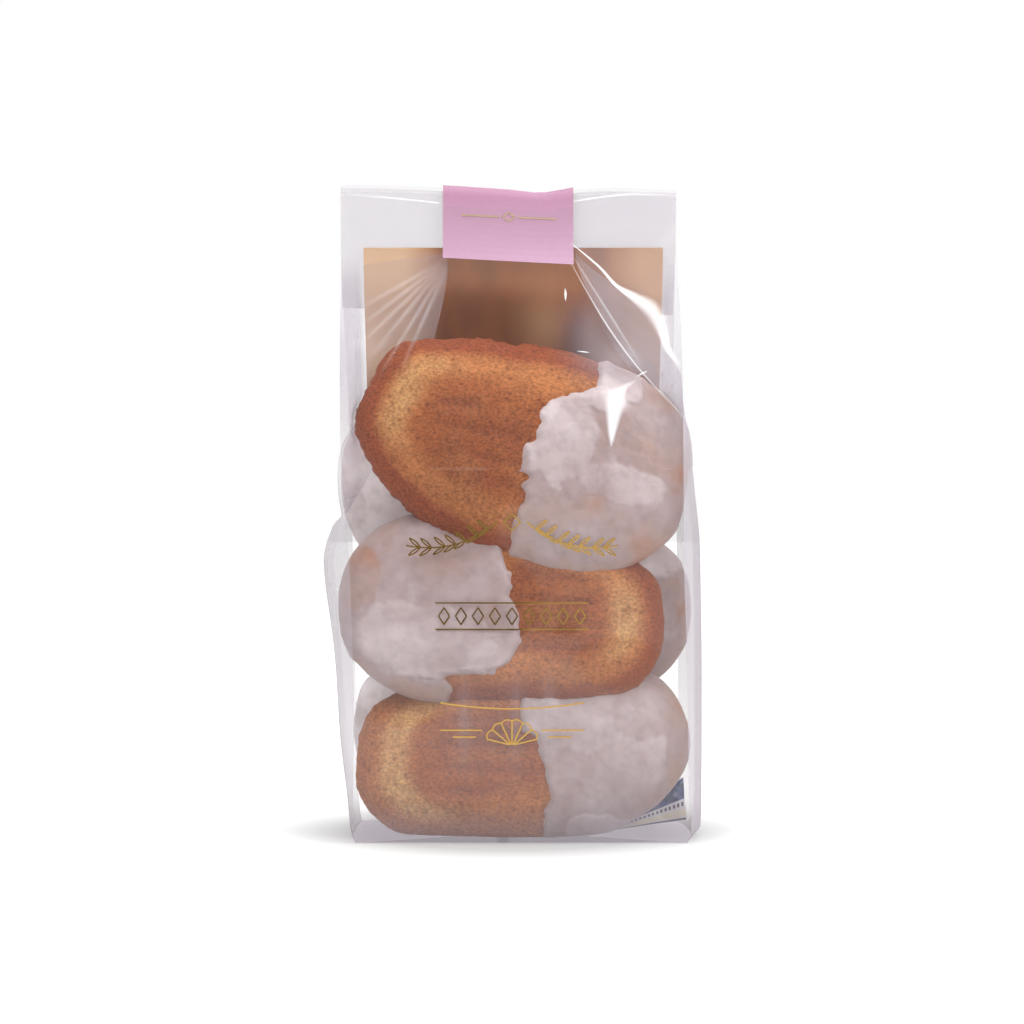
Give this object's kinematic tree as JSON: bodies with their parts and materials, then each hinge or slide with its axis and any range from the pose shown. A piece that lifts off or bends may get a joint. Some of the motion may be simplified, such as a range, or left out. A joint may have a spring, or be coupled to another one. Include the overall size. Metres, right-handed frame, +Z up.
{
  "type": "clear gusseted bag of madeleine cakes",
  "caption": "Sealed clear gusseted bag with a folded top and a paper seal, packed with iced shell-shaped sponge cakes, standing on its block bottom.",
  "frame": {"origin": "on the floor under the middle of the bag's box", "axes": "+Z up along the bag, +X to the right of the front panel as seen from the front, +Y to the back"},
  "size_m": [0.0928, 0.0525, 0.1587],
  "materials": {
    "clear_film": "clear plastic film, glossy, slightly hazy and creased",
    "seal_paper": "smooth pink label paper with a soft sheen",
    "sponge": "baked sponge cake, fine open pores, browned",
    "icing": "thin set sugar icing, cloudy and uneven",
    "backing_board": "copper-toned foil board",
    "sachet_film": "printed sachet with a blue band",
    "foil_print": "hot-stamped gold foil ornament"
  },
  "bodies": {
    "root": {"bag": "clear_film", "seal_label": "seal_paper"}
  },
  "joints": []
}
